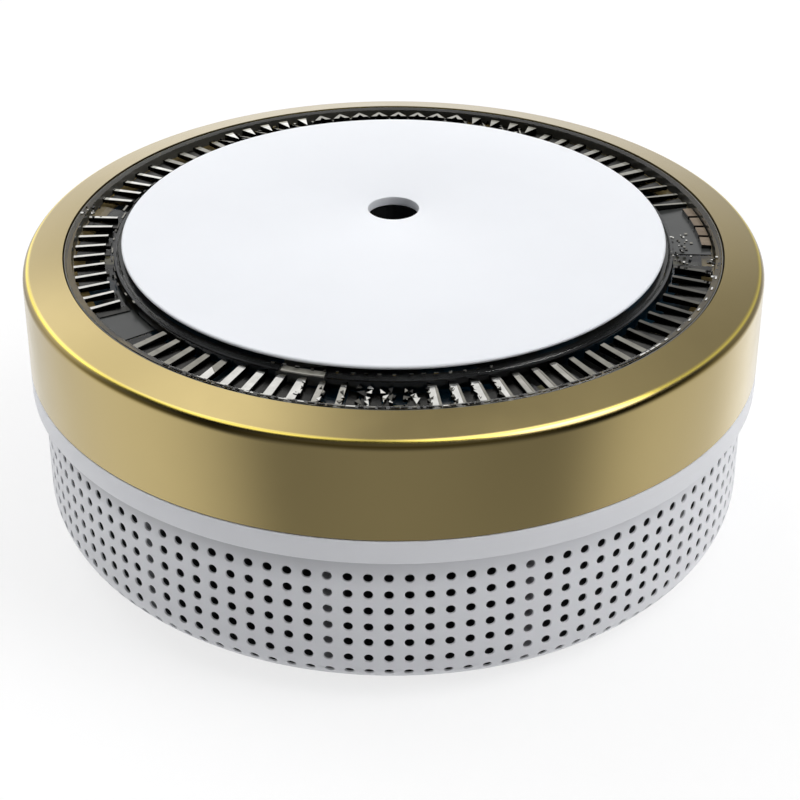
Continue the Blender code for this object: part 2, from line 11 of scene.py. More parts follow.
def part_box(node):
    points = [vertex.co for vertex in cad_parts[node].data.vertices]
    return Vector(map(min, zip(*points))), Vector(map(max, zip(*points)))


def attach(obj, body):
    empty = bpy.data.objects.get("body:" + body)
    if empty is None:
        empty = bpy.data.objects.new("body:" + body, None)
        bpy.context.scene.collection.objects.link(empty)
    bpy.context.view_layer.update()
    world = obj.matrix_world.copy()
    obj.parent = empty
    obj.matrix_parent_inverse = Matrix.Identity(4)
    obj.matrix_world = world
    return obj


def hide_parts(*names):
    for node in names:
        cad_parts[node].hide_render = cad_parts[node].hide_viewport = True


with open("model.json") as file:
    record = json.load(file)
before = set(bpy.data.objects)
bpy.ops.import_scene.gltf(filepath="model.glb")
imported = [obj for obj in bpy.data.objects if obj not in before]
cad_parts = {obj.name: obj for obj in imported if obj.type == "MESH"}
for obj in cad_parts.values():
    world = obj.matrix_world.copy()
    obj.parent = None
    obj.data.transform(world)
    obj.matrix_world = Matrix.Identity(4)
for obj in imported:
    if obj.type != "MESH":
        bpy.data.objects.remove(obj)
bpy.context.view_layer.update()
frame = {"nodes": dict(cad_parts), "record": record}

MM = 0.001
BODY = "housing"
ROUND = 240                        # facets round the outside pieces

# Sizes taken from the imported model
RING_LOW, RING_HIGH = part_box("gold_ring")
DISC_LOW, DISC_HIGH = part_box("top_disc")
WALL_LOW, WALL_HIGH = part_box("perforated_base")
BODY_R = RING_HIGH.x

# Colours
GOLD = (0.365, 0.290, 0.132)
INNER_GOLD = (0.34, 0.25, 0.10)
WHITE = (0.76, 0.77, 0.80)
PALE = (0.42, 0.41, 0.37)
# Painted light on the gold ring: span of the normal's upward part, colour; the first paints a dark
# reflection line under the shoulder, the second a highlight along it
SHOULDER_PAINTED_LIGHT = [(0.22, 0.74, (0.17, 0.12, 0.03)), (0.70, 0.955, (1.0, 0.80, 0.16))]
# Shade on the wall: how far down it reaches, strength on the left, strength on the right
WALL_SHADE = [(1.6 * MM, 0.93, 0.20), (8.5 * MM, 0.60, 0.06)]
SHADE_EDGE = 0.2 * MM               # the shade is full from here up


# ---------------------------------------------------------------- node helpers

def new_material(name):
    """An empty Principled material; returns the material, its tree and its shader."""
    made = bpy.data.materials.new(name)
    made.use_nodes = True
    tree = made.node_tree
    return made, tree, tree.nodes["Principled BSDF"]


def add_noise(tree, scale, detail=2.0):
    """Noise in object coordinates, scale in features per metre."""
    coords = tree.nodes.new("ShaderNodeTexCoord")
    noise = tree.nodes.new("ShaderNodeTexNoise")
    noise.inputs["Scale"].default_value = scale
    noise.inputs["Detail"].default_value = detail
    tree.links.new(coords.outputs["Object"], noise.inputs["Vector"])
    return noise.outputs["Fac"]


def add_range(tree, value, low, high, from_low=0.3, from_high=0.7):
    """Map a factor to a range."""
    node = tree.nodes.new("ShaderNodeMapRange")
    node.inputs["From Min"].default_value = from_low
    node.inputs["From Max"].default_value = from_high
    node.inputs["To Min"].default_value = low
    node.inputs["To Max"].default_value = high
    tree.links.new(value, node.inputs["Value"])
    return node.outputs["Result"]


def add_colour_mix(tree, factor, first, second):
    """Mix two colours by a factor."""
    node = tree.nodes.new("ShaderNodeMix")
    node.data_type = 'RGBA'
    node.inputs["A"].default_value = (*first, 1.0)
    node.inputs["B"].default_value = (*second, 1.0)
    tree.links.new(factor, node.inputs["Factor"])
    return node.outputs["Result"]


def add_bump(tree, shader, height, distance):
    """Bump from a height."""
    node = tree.nodes.new("ShaderNodeBump")
    node.inputs["Distance"].default_value = distance
    tree.links.new(height, node.inputs["Height"])
    tree.links.new(node.outputs["Normal"], shader.inputs["Normal"])


def add_math(tree, operation, first, second):
    """A sum, product or maximum of two values."""
    node = tree.nodes.new("ShaderNodeMath")
    node.operation = operation
    tree.links.new(first, node.inputs[0])
    tree.links.new(second, node.inputs[1])
    return node.outputs[0]


def add_tint(tree, base, share, colour):
    """Move a colour towards another one by a share."""
    node = tree.nodes.new("ShaderNodeMix")
    node.data_type = 'RGBA'
    node.inputs["B"].default_value = (*colour, 1.0)
    tree.links.new(base, node.inputs["A"])
    tree.links.new(share, node.inputs["Factor"])
    return node.outputs["Result"]


def add_parts(tree, vector):
    """The separate X, Y and Z of a vector."""
    node = tree.nodes.new("ShaderNodeSeparateXYZ")
    tree.links.new(vector, node.inputs[0])
    return node.outputs


def base_colour(made):
    """A material's tree, its shader and what feeds its base colour."""
    tree = made.node_tree
    shader = tree.nodes["Principled BSDF"]
    return tree, shader, shader.inputs["Base Color"].links[0].from_socket


def shade(value, amount):
    """A colour made lighter or darker."""
    return tuple(min(1.0, channel * amount) for channel in value)


def moulded(name, colour, roughness, grain=2600.0, depth=0.006, spread=0.05, metallic=0.0):
    """Moulded or blasted surface: fine grain, faint cloudiness and uneven gloss."""
    made, tree, shader = new_material(name)
    cloud = add_noise(tree, 60.0, 3.0)
    tone = add_range(tree, cloud, 0.0, 1.0)
    colours = add_colour_mix(tree, tone, shade(colour, 1.0 - spread), shade(colour, 1.0 + spread))
    tree.links.new(colours, shader.inputs["Base Color"])
    gloss = add_range(tree, add_noise(tree, 220.0, 3.0), roughness * 0.93, roughness * 1.07)
    tree.links.new(gloss, shader.inputs["Roughness"])
    shader.inputs["Metallic"].default_value = metallic
    add_bump(tree, shader, add_noise(tree, grain, 2.0), depth * MM)
    return made


def gold_material():
    """Satin gold, with a painted highlight along the turned shoulder and a painted dark reflection line
    just under it.
    """
    made = moulded("gold_metal", GOLD, 0.21, 5200.0, 0.0012, 0.012, 1.0)
    tree, shader, base = base_colour(made)
    facing = tree.nodes.new("ShaderNodeNewGeometry")
    upward = add_parts(tree, facing.outputs["Normal"])["Z"]
    # tint in the painted reflection line and the painted highlight by the normal's upward part
    for first, last, colour in SHOULDER_PAINTED_LIGHT:
        middle = (first + last) / 2
        rise = add_range(tree, upward, 0.0, 1.0, first, middle)
        fall = add_range(tree, upward, 1.0, 0.0, middle, last)
        base = add_tint(tree, base, add_math(tree, 'MULTIPLY', rise, fall), colour)
    tree.links.new(base, shader.inputs["Base Color"])
    return made


def wall_material():
    """White plastic, with the shade of the band above it painted into its colour."""
    made = moulded("wall_plastic", WHITE, 0.45, 3200.0, 0.004, 0.015)
    tree, shader, base = base_colour(made)
    coords = tree.nodes.new("ShaderNodeTexCoord")
    position = add_parts(tree, coords.outputs["Object"])
    for reach, most, least in WALL_SHADE:
        near = add_range(tree, position["Z"], 0.0, 1.0, WALL_HIGH.z - reach, WALL_HIGH.z - SHADE_EDGE)
        side = add_range(tree, position["X"], most, least, -0.40 * WALL_R, 0.50 * WALL_R)
        for value in (near, side):
            value.node.interpolation_type = 'SMOOTHSTEP'
        base = add_tint(tree, base, add_math(tree, 'MULTIPLY', near, side), (0.0, 0.0, 0.0))
    tree.links.new(base, shader.inputs["Base Color"])
    return made


# ---------------------------------------------------------------- mesh helpers

def to_piece(name, shape, materials, angle=35.0):
    """Turn a bmesh into a smooth-shaded object with its materials."""
    mesh = bpy.data.meshes.new(name)
    shape.to_mesh(mesh)
    shape.free()
    mesh.shade_smooth()
    mesh.set_sharp_from_angle(angle=math.radians(angle))
    for item in materials:
        mesh.materials.append(item)
    piece = bpy.data.objects.new(name, mesh)
    bpy.context.scene.collection.objects.link(piece)
    return piece


def arc(centre_r, centre_z, radius, start, end, steps):
    """Points of an arc in the (radius, height) plane, angles in degrees."""
    angles = [math.radians(start + (end - start) * step / steps) for step in range(steps + 1)]
    return [(centre_r + radius * math.cos(a), centre_z + radius * math.sin(a)) for a in angles]


def add_turned(shape, outline, segments=ROUND):
    """Add a closed (radius, height) outline revolved round Z."""
    verts = [shape.verts.new((radius, 0.0, height)) for radius, height in outline]
    pairs = list(zip(verts, verts[1:]))
    if outline[0][0] > 0.0 or outline[-1][0] > 0.0:
        pairs.append((verts[-1], verts[0]))
    edges = [shape.edges.new(pair) for pair in pairs]
    bmesh.ops.spin(shape, geom=verts + edges, cent=(0, 0, 0), axis=(0, 0, 1),
                   angle=2 * math.pi, steps=segments, use_merge=True)
    bmesh.ops.remove_doubles(shape, verts=shape.verts, dist=1e-7)
    bmesh.ops.recalc_face_normals(shape, faces=shape.faces)


def turned(name, outline, material, segments=ROUND):
    """One solid of revolution."""
    shape = bmesh.new()
    add_turned(shape, outline, segments)
    return to_piece(name, shape, [material])


def softened(outline, radius, steps=3):
    """Round every corner of a closed (radius, height) outline, less where an edge is short."""
    made = []
    count = len(outline)
    for index in range(count):
        before = Vector(outline[index - 1])
        corner = Vector(outline[index])
        after = Vector(outline[(index + 1) % count])
        cut = min(radius, (before - corner).length * 0.45, (after - corner).length * 0.45)
        start = corner + (before - corner).normalized() * cut
        end = corner + (after - corner).normalized() * cut
        for step in range(steps + 1):
            t = step / steps
            point = start * (1 - t) ** 2 + corner * (2 * t * (1 - t)) + end * t ** 2
            made.append((point.x, point.y))
    return made


def place(piece, slot, *nodes):
    """Ride on the housing and stand for CAD nodes; slot is not used."""
    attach(piece, BODY)
    if nodes:
        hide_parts(*nodes)
    return piece


# ---------------------------------------------------------------- camera and light

CAMERA_DISTANCE = 0.36357
CAMERA_ELEVATION = math.radians(30.685)
CAMERA_TARGET = Vector((0.0, 0.0, 0.023))


def make_camera():
    """Camera in front of the unit, looking down on it."""
    data = bpy.data.cameras.new("camera")
    data.lens = 96.85
    data.sensor_width = 36.0
    data.shift_x = 0.0081
    data.shift_y = -0.0310
    data.clip_start = 0.01
    data.clip_end = 20.0
    camera = bpy.data.objects.new("camera", data)
    back = Vector((0.0, -math.cos(CAMERA_ELEVATION), math.sin(CAMERA_ELEVATION)))
    camera.location = CAMERA_TARGET + back * CAMERA_DISTANCE
    camera.rotation_mode = 'QUATERNION'
    camera.rotation_quaternion = (-back).to_track_quat('-Z', 'Y')
    bpy.context.scene.collection.objects.link(camera)
    bpy.context.scene.camera = camera


def add_lobe(tree, direction, direction_source, inner, outer, strength):
    """Light from a patch of the surroundings, soft between two angles from its middle."""
    dot = tree.nodes.new("ShaderNodeVectorMath")
    dot.operation = 'DOT_PRODUCT'
    dot.inputs[1].default_value = Vector(direction).normalized()
    tree.links.new(direction_source, dot.inputs[0])
    node = tree.nodes.new("ShaderNodeMapRange")
    node.interpolation_type = 'SMOOTHSTEP'
    node.inputs["From Min"].default_value = math.cos(math.radians(outer))
    node.inputs["From Max"].default_value = math.cos(math.radians(inner))
    node.inputs["To Min"].default_value = 0.0
    node.inputs["To Max"].default_value = strength
    tree.links.new(dot.outputs["Value"], node.inputs["Value"])
    return node.outputs["Result"]


def make_world():
    """Studio surroundings: dim behind the camera, bright at the back and sides, lamps overhead."""
    world = bpy.data.worlds.new("studio")
    bpy.context.scene.world = world
    world.use_nodes = True
    tree = world.node_tree
    tree.nodes.clear()
    coords = tree.nodes.new("ShaderNodeTexCoord")
    source = coords.outputs["Generated"]
    total = None
    for direction, inner, outer, strength in STUDIO:
        value = add_lobe(tree, direction, source, inner, outer, strength)
        total = value if total is None else add_math(tree, 'ADD', total, value)
    lit = tree.nodes.new("ShaderNodeBackground")
    lit.inputs["Color"].default_value = (1.0, 1.0, 1.0, 1.0)
    tree.links.new(total, lit.inputs["Strength"])
    seen = tree.nodes.new("ShaderNodeBackground")
    seen.inputs["Color"].default_value = (1.0, 1.0, 1.0, 1.0)
    seen.inputs["Strength"].default_value = 1.0
    path = tree.nodes.new("ShaderNodeLightPath")
    mix = tree.nodes.new("ShaderNodeMixShader")
    output = tree.nodes.new("ShaderNodeOutputWorld")
    tree.links.new(path.outputs["Is Camera Ray"], mix.inputs["Fac"])
    tree.links.new(lit.outputs[0], mix.inputs[1])
    tree.links.new(seen.outputs[0], mix.inputs[2])
    tree.links.new(mix.outputs[0], output.inputs["Surface"])


# Studio light: direction, half angle of the even middle, half angle of the soft edge, strength
STUDIO = [
    ((0.00, 0.00, -1.00), 40, 100, 0.48),    # light bounced up from the table
    ((0.00, 0.88, -0.47), 15, 60, 0.76),     # bright table behind
    ((-0.88, 0.00, -0.47), 10, 50, 0.84),    # bright table on the left
    ((0.85, 0.25, -0.47), 10, 50, 0.80),     # bright table on the right
    ((-0.75, 0.60, 0.25), 10, 35, 1.05),     # wall panel, left back
    ((-0.10, 0.93, 0.35), 10, 35, 0.82),     # wall panel, back
    ((0.60, 0.60, 0.50), 10, 35, 0.48),      # wall panel, right back
    ((-0.45, 0.55, 0.70), 10, 26, 1.36),     # soft box, left
    ((-0.30, 0.40, 0.87), 6, 18, 0.70),      # lamp strip, high on the left
    ((-0.33, 0.08, 0.94), 10, 20, 1.28),     # overhead panel, left
    ((0.33, 0.08, 0.94), 15, 22, 2.30),      # overhead panel, right
    ((0.60, -0.20, 0.77), 8, 22, 5.00),      # soft box, right
    ((0.06, 0.52, 0.86), 6, 26, 0.42),       # soft box, high at the back
    ((-1.00, 0.00, 0.00), 10, 45, 0.29),     # fill, left
    ((0.00, -1.00, 0.30), 20, 60, 0.22),     # fill, front
]


FLOOR_HALF = 3.0                    # half the side of the square floor
FLOOR_GLOW = 1.05
FLOOR_GLOW_SHARE = 0.72             # share of the glow in what the camera sees


def make_floor():
    """Plain white floor that shows only a faint soft shadow."""
    made, tree, shader = new_material("floor_white")
    shader.inputs["Base Color"].default_value = (0.93, 0.93, 0.94, 1.0)
    shader.inputs["Roughness"].default_value = 0.9
    shader.inputs["Specular IOR Level"].default_value = 0.0
    glow = tree.nodes.new("ShaderNodeEmission")
    glow.inputs["Color"].default_value = (1.0, 1.0, 1.0, 1.0)
    glow.inputs["Strength"].default_value = FLOOR_GLOW
    path = tree.nodes.new("ShaderNodeLightPath")
    share = tree.nodes.new("ShaderNodeMath")
    share.operation = 'MULTIPLY'
    share.inputs[1].default_value = FLOOR_GLOW_SHARE
    tree.links.new(path.outputs["Is Camera Ray"], share.inputs[0])
    mix = tree.nodes.new("ShaderNodeMixShader")
    tree.links.new(share.outputs[0], mix.inputs["Fac"])
    tree.links.new(shader.outputs[0], mix.inputs[1])
    tree.links.new(glow.outputs[0], mix.inputs[2])
    tree.links.new(mix.outputs[0], tree.nodes["Material Output"].inputs["Surface"])
    shape = bmesh.new()
    bmesh.ops.create_grid(shape, x_segments=8, y_segments=8, size=FLOOR_HALF)
    floor = to_piece("floor", shape, [made])
    floor.visible_glossy = False


# ---------------------------------------------------------------- outside pieces

DISC_SHEET = 0.7 * MM
DISC_RIM = 0.45 * MM                # how far in the rounded rim reaches
HOLE_PLACE = Vector((0.0, 7.8 * MM, 0.0))
HOLE_RADIUS = 4.2 * MM
HOLE_EDGE = 0.14 * MM               # rounding of the hole's upper edge
COLLAR_RADIUS = 6.0 * MM
COLLAR_EDGE = 0.16 * MM


def add_loft(shape, rings):
    """Join rings of points, each with the same count, into a closed tube of faces."""
    loops = [[shape.verts.new(point) for point in ring] for ring in rings]
    count = len(loops[0])
    for near, far in zip(loops, loops[1:]):
        for k in range(count):
            after = (k + 1) % count
            shape.faces.new((near[k], far[k], far[after], near[after]))


def circle(centre, radius, height, count=2 * ROUND):
    """Points of a level circle."""
    angles = [2 * math.pi * k / count for k in range(count)]
    return [Vector((centre.x + radius * math.cos(angle), centre.y + radius * math.sin(angle), height))
            for angle in angles]


def make_disc(material):
    """White cover disc with a softened rim and a collar round its sensing hole."""
    top = DISC_HIGH.z
    low = top - DISC_SHEET
    collar_low = DISC_LOW.z
    middle, half = (top + low) / 2, (top - low) / 2
    axis = Vector((0.0, 0.0, 0.0))
    rings = [circle(HOLE_PLACE, COLLAR_RADIUS, low)]
    for step in range(9):
        turn = math.radians(-90 + 180 * step / 8)
        reach = DISC_HIGH.x - DISC_RIM + DISC_RIM * math.cos(turn)
        rings.append(circle(axis, reach, middle + half * math.sin(turn)))
    for step in range(4):
        turn = math.radians(90 * step / 3)
        rings.append(circle(HOLE_PLACE, HOLE_RADIUS + HOLE_EDGE * (1 - math.sin(turn)),
                            top - HOLE_EDGE * (1 - math.cos(turn))))
    rings.append(circle(HOLE_PLACE, HOLE_RADIUS, collar_low + COLLAR_EDGE))
    rings.append(circle(HOLE_PLACE, HOLE_RADIUS + COLLAR_EDGE, collar_low))
    rings.append(circle(HOLE_PLACE, COLLAR_RADIUS, collar_low))
    rings.append(circle(HOLE_PLACE, COLLAR_RADIUS, low))
    shape = bmesh.new()
    add_loft(shape, rings)
    bmesh.ops.remove_doubles(shape, verts=shape.verts, dist=1e-7)
    bmesh.ops.recalc_face_normals(shape, faces=shape.faces)
    place(to_piece("disc_cover", shape, [material]), "disc_plastic", "top_disc")


# Gold ring
RING_INNER = 53.35 * MM
RING_SLOPE = math.radians(14.5)     # fall of its top towards the outside
RING_SHOULDER = 1.7 * MM
RING_WALL = 1.2 * MM
RING_SHEET = 1.45 * MM              # height of the section under its top
RING_DROP = 0.12 * MM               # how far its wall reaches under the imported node
LIP_WIDTH = 1.1 * MM
LIP_TOP = 0.45 * MM                 # how far under the top edge the plain inner lip begins
LIP_LOW = 41.0 * MM
LEDGE_R = 50.0 * MM                 # ledge inside the gold ring, under the clear ring
LEDGE_TOP = 45.7 * MM
LEDGE_SHEET = 0.8 * MM


def gold_top(radius):
    """Height of the gold ring's sloping top at a radius."""
    return RING_HIGH.z - math.tan(RING_SLOPE) * (radius - RING_INNER)


def gold_outline():
    """Section of the gold ring: wall, rounded shoulder, sloping top and inner edge."""
    centre_r = BODY_R - RING_SHOULDER
    centre_z = gold_top(centre_r) - RING_SHOULDER / math.cos(RING_SLOPE)
    wall_r = BODY_R - RING_WALL
    lip_r = RING_INNER + LIP_WIDTH
    foot = RING_LOW.z - RING_DROP
    edge = 0.12 * MM
    outline = [(wall_r, foot), (BODY_R - 0.1 * MM, foot), (BODY_R, RING_LOW.z)]
    outline += arc(centre_r, centre_z, RING_SHOULDER, 0, 90 - math.degrees(RING_SLOPE), 12)
    outline += [
        (RING_INNER + edge, gold_top(RING_INNER + edge)),
        (RING_INNER, RING_HIGH.z - LIP_TOP),
        (lip_r, RING_HIGH.z - LIP_TOP),
        (lip_r, gold_top(lip_r) - RING_SHEET),
        (wall_r, gold_top(wall_r) - RING_SHEET),
    ]
    return outline


def make_gold_ring(material, inner_material):
    """Satin gold trim ring with its plainer inner lip and ledge."""
    place(turned("gold_trim", gold_outline(), material, 2 * ROUND), "gold_metal", "gold_ring")
    lip_r = RING_INNER + LIP_WIDTH
    top = RING_HIGH.z - LIP_TOP
    ledge_low = LEDGE_TOP - LEDGE_SHEET
    outline = [
        (RING_INNER, top),
        (RING_INNER, LEDGE_TOP),
        (LEDGE_R, LEDGE_TOP),
        (LEDGE_R, ledge_low),
        (RING_INNER, ledge_low),
        (RING_INNER, LIP_LOW),
        (lip_r, LIP_LOW),
        (lip_r, top),
    ]
    outline = softened(outline, 0.08 * MM)
    place(turned("gold_trim_lip", outline, inner_material, 2 * ROUND), "gold_metal")


# White housing behind the band
DECK_LOW, DECK_HIGH = 36.5 * MM, 38.0 * MM
BAND_LOW, BAND_HIGH = 26.8 * MM, 30.88 * MM
BAND_ROUND = 0.35 * MM
BAND_EDGE = 0.08 * MM
BAND_GROOVE_TOP = 29.3 * MM         # top of the groove that the perforated wall stands in
SLEEVE_TOP = 45.5 * MM


def make_housing(material):
    """White band and the housing behind it."""
    skirt_low = BAND_LOW + 0.5 * MM
    outline = [
        (0.0, DECK_LOW),
        (54.9 * MM, DECK_LOW),
        (54.9 * MM, skirt_low),
        (56.1 * MM, skirt_low),
        (56.1 * MM, BAND_GROOVE_TOP),
        (58.5 * MM, BAND_GROOVE_TOP),
        (58.5 * MM, BAND_LOW),
    ]
    outline += arc(BODY_R - BAND_ROUND, BAND_LOW + BAND_ROUND, BAND_ROUND, -90, 0, 4)
    outline += [
        (BODY_R, BAND_HIGH - BAND_EDGE),
        (BODY_R - BAND_EDGE, BAND_HIGH),
        (58.4 * MM, BAND_HIGH),
        (58.4 * MM, SLEEVE_TOP),
        (57.0 * MM, SLEEVE_TOP),
        (57.0 * MM, DECK_HIGH),
        (0.0, DECK_HIGH),
    ]
    place(turned("housing_band", outline, material), "white_plastic", "upper_housing")


# ---------------------------------------------------------------- perforated wall

WALL_R = 58.2 * MM
WALL_T = 1.8 * MM
FILLET = 8.0 * MM                   # rounded lower edge
TANGENT_Z = WALL_LOW.z + FILLET     # where the straight wall meets the rounded edge

# Perforations: rows of round holes from the top row down, and one more on the rounded edge
COLUMNS = 120
PITCH = 2 * math.pi / COLUMNS
FIRST_COLUMN = math.radians(-0.665)
GRID_START = FIRST_COLUMN - PITCH / 2
ROW_HEIGHTS = [23.0, 20.0, 17.0, 14.0, 11.24, 8.48]
LAST_ROW = FILLET * math.radians(30.0)
HOLE_R = 0.74 * MM
HOLE_CHAMFER = 0.09 * MM
# Deeper than this, a hole's walls carry painted shade
LIT_DEPTH = 0.28 * MM               # the wall's own colour reaches this deep into a hole
STEPS = 4                           # facets along each side of one hole's cell
# Finishes of the wall's faces: its own white, painted shade deep in a hole, and lighter painted shade
# deep in a hole with a rib behind it
PLAIN, INSIDE_PAINTED_SHADE, INSIDE_PAINTED_HALF_SHADE = range(3)

# Upright ribs behind every tenth column
WALL_RIBS = 12
WALL_RIB_EVERY = 10
WALL_RIB_FIRST = -3
WALL_RIB_SIZE = (1.6 * MM, 2.6 * MM, 19.6 * MM)
WALL_RIB_RADIUS = 55.2 * MM
WALL_RIB_HEIGHT = 16.3 * MM

# Power inlet's window, a bar with round ends in place of some holes
INLET_COLUMNS = range(57, 63)
INLET_ROWS = (2, 3, 4)
INLET_HALF_WIDTH = 4.95 * MM
INLET_END = 2.1 * MM


def wall_point(angle, down, depth):
    """A point of the wall: bearing, way down from the tangent line, depth under the surface."""
    if down <= 0.0:
        radius = WALL_R - depth
        height = TANGENT_Z - down
    else:
        turn = down / FILLET
        centre_r = WALL_R - FILLET
        radius = centre_r + (FILLET - depth) * math.cos(turn)
        height = TANGENT_Z - (FILLET - depth) * math.sin(turn)
    return Vector((radius * math.sin(angle), -radius * math.cos(angle), height))


def square_rim(count_u, count_s):
    """Points round a unit square's rim, anticlockwise from the corner (1, 1)."""
    rim = []
    rim += [(1 - 2 * k / count_u, 1.0) for k in range(count_u)]
    rim += [(-1.0, 1 - 2 * k / count_s) for k in range(count_s)]
    rim += [(-1 + 2 * k / count_u, -1.0) for k in range(count_u)]
    rim += [(1.0, -1 + 2 * k / count_s) for k in range(count_s)]
    return rim


def add_holed_cell(shape, span, way, counts, hole, inside=INSIDE_PAINTED_SHADE):
    """A patch of wall with a hole through it. hole(x, y, grow) gives a point of the hole's rim."""
    middle_angle, half_angle = (span[0] + span[1]) / 2, (span[1] - span[0]) / 2
    middle_down, half_down = (way[0] + way[1]) / 2, (way[1] - way[0]) / 2
    rim = square_rim(*counts)
    steps = (
        (0.0, None, PLAIN),
        (0.0, HOLE_CHAMFER, PLAIN),
        (HOLE_CHAMFER, 0.0, PLAIN),
        (LIT_DEPTH, 0.0, PLAIN),
        (WALL_T, 0.0, inside),
        (WALL_T, None, PLAIN),
    )
    before = None
    for depth, grow, finish in steps:
        loop = []
        for x, y in rim:
            if grow is None:
                angle = middle_angle + x * half_angle
                down = middle_down - y * half_down
            else:
                across, up = hole(x * half_angle * WALL_R, y * half_down, grow)
                angle = middle_angle + across / WALL_R
                down = middle_down - up
            loop.append(shape.verts.new(wall_point(angle, down, depth)))
        if before:
            for k in range(len(rim)):
                after = (k + 1) % len(rim)
                face = shape.faces.new((before[k], loop[k], loop[after], before[after]))
                face.material_index = finish
        before = loop


def round_hole(x, y, grow):
    """Rim point of a round hole in the direction of a cell's rim point."""
    angle = math.atan2(y, x)
    radius = HOLE_R + grow
    return radius * math.cos(angle), radius * math.sin(angle)


def inlet_hole(x, y, grow):
    """Rim point of the power inlet's window."""
    radius = INLET_END + grow
    half = INLET_HALF_WIDTH - INLET_END
    angle = math.atan2(y * 2.0, x)
    way = math.cos(angle)
    side = math.copysign(half, way) if abs(way) > 0.5 else 2 * half * way
    return side + radius * way, radius * math.sin(angle)


def grid_loop(shape, down, depth):
    """A level loop of the wall's points, on the same angular grid as the cells."""
    columns = COLUMNS * STEPS
    return [shape.verts.new(wall_point(GRID_START + 2 * math.pi * k / columns, down, depth))
            for k in range(columns)]


def add_plain_band(shape, way, depth, steps, outward):
    """A plain turned band of the wall."""
    first, last = way
    loops = [grid_loop(shape, first + (last - first) * step / steps, depth) for step in range(steps + 1)]
    for near, far in zip(loops, loops[1:]):
        for k in range(len(near)):
            after = (k + 1) % len(near)
            face = (near[k], far[k], far[after], near[after])
            shape.faces.new(face if outward else face[::-1])


def add_edge_band(shape, down):
    """Join the outer and inner surfaces along a free edge of the wall."""
    outer = grid_loop(shape, down, 0.0)
    inner = grid_loop(shape, down, WALL_T)
    for k in range(len(outer)):
        after = (k + 1) % len(outer)
        shape.faces.new((outer[k], outer[after], inner[after], inner[k]))


def add_cells(shape, edges):
    """The cells of all round holes, between the rows' edges, and the inlet's window."""
    for column in range(COLUMNS):
        span = (GRID_START + PITCH * column, GRID_START + PITCH * (column + 1))
        on_rib = (column - WALL_RIB_FIRST) % WALL_RIB_EVERY == 0
        inside = INSIDE_PAINTED_HALF_SHADE if on_rib else INSIDE_PAINTED_SHADE
        for row, way in enumerate(zip(edges, edges[1:])):
            if column not in INLET_COLUMNS or row not in INLET_ROWS:
                add_holed_cell(shape, span, way, (STEPS, STEPS), round_hole, inside)
    span = (GRID_START + PITCH * INLET_COLUMNS[0], GRID_START + PITCH * (INLET_COLUMNS[-1] + 1))
    way = (edges[INLET_ROWS[0]], edges[INLET_ROWS[-1] + 1])
    counts = (STEPS * len(INLET_COLUMNS), STEPS * len(INLET_ROWS))
    add_holed_cell(shape, span, way, counts, inlet_hole)


def make_wall(material):
    """Perforated wall with its rounded lower edge, built hole by hole."""
    shape = bmesh.new()
    downs = [TANGENT_Z - height * MM for height in ROW_HEIGHTS] + [LAST_ROW]
    edges = [downs[0] - 1.5 * MM]
    edges += [(a + b) / 2 for a, b in zip(downs, downs[1:])]
    edges.append(LAST_ROW + 1.75 * MM)
    add_cells(shape, edges)
    top = TANGENT_Z - WALL_HIGH.z
    bottom = FILLET * math.pi / 2
    for depth, outward in ((0.0, True), (WALL_T, False)):
        add_plain_band(shape, (top, edges[0]), depth, 2, outward)
        add_plain_band(shape, (edges[-1], bottom), depth, 6, outward)
    add_edge_band(shape, top)
    add_edge_band(shape, bottom)
    bmesh.ops.remove_doubles(shape, verts=shape.verts, dist=2e-6)
    bmesh.ops.recalc_face_normals(shape, faces=shape.faces)
    # painted shade inside the holes: dark, and grey where a rib stands behind
    dark = moulded("hole_painted_shade", (0.020, 0.020, 0.022), 0.6)
    grey = moulded("hole_painted_half_shade", (0.26, 0.26, 0.27), 0.6)
    piece = to_piece("vented_wall", shape, [material, dark, grey], 40.0)
    place(piece, "white_plastic", "perforated_base")


def make_wall_ribs(material):
    """The upright ribs behind the wall."""
    shape = bmesh.new()
    middle = Matrix.Translation((0.0, -WALL_RIB_RADIUS, WALL_RIB_HEIGHT))
    size = Matrix.Diagonal((*WALL_RIB_SIZE, 1.0))
    for rib in range(WALL_RIBS):
        bearing = FIRST_COLUMN + PITCH * (WALL_RIB_EVERY * rib + WALL_RIB_FIRST)
        turn = Matrix.Rotation(bearing, 4, 'Z')
        bmesh.ops.create_cube(shape, size=1.0, matrix=turn @ middle @ size)
    bmesh.ops.bevel(shape, geom=shape.edges[:], offset=0.2 * MM, segments=2, affect='EDGES')
    place(to_piece("wall_ribs", shape, [material]), "white_plastic")


# ---------------------------------------------------------------- clear light ring

RIBS = 90
RIB_INNER = 45.7 * MM
RIB_OUTER = 51.75 * MM
RIB_HIGH = 48.30 * MM               # top of a rib at its inner end
RIB_FALL = 0.40 * MM                # how much lower its outer end is
RIB_TAPER = 0.85                    # width of its inner end against its outer end
GROOVE = 47.20 * MM                 # floor of the groove that the ribs stand in
SHORT_SPAN = (-150.0, -63.0)        # bearings of the ribs on the left that stop earlier
SHORT_BY = 1.1 * MM
STRIP_DEPTH = 0.25 * MM

LEGS = ((-105.0, 4.0), (-61.0, 8.0), (83.0, 4.0), (98.0, 8.0))      # bearing, width in mm
PADS = ((-62.5, -53.0), (87.0, 106.5))                              # bearings without ribs

# Tones of the rib tops and glints, from painted highlight to painted shade, then warm and light
BRIGHT, MIDDLE, DIM, DARK, WARM, LIGHT = range(6)
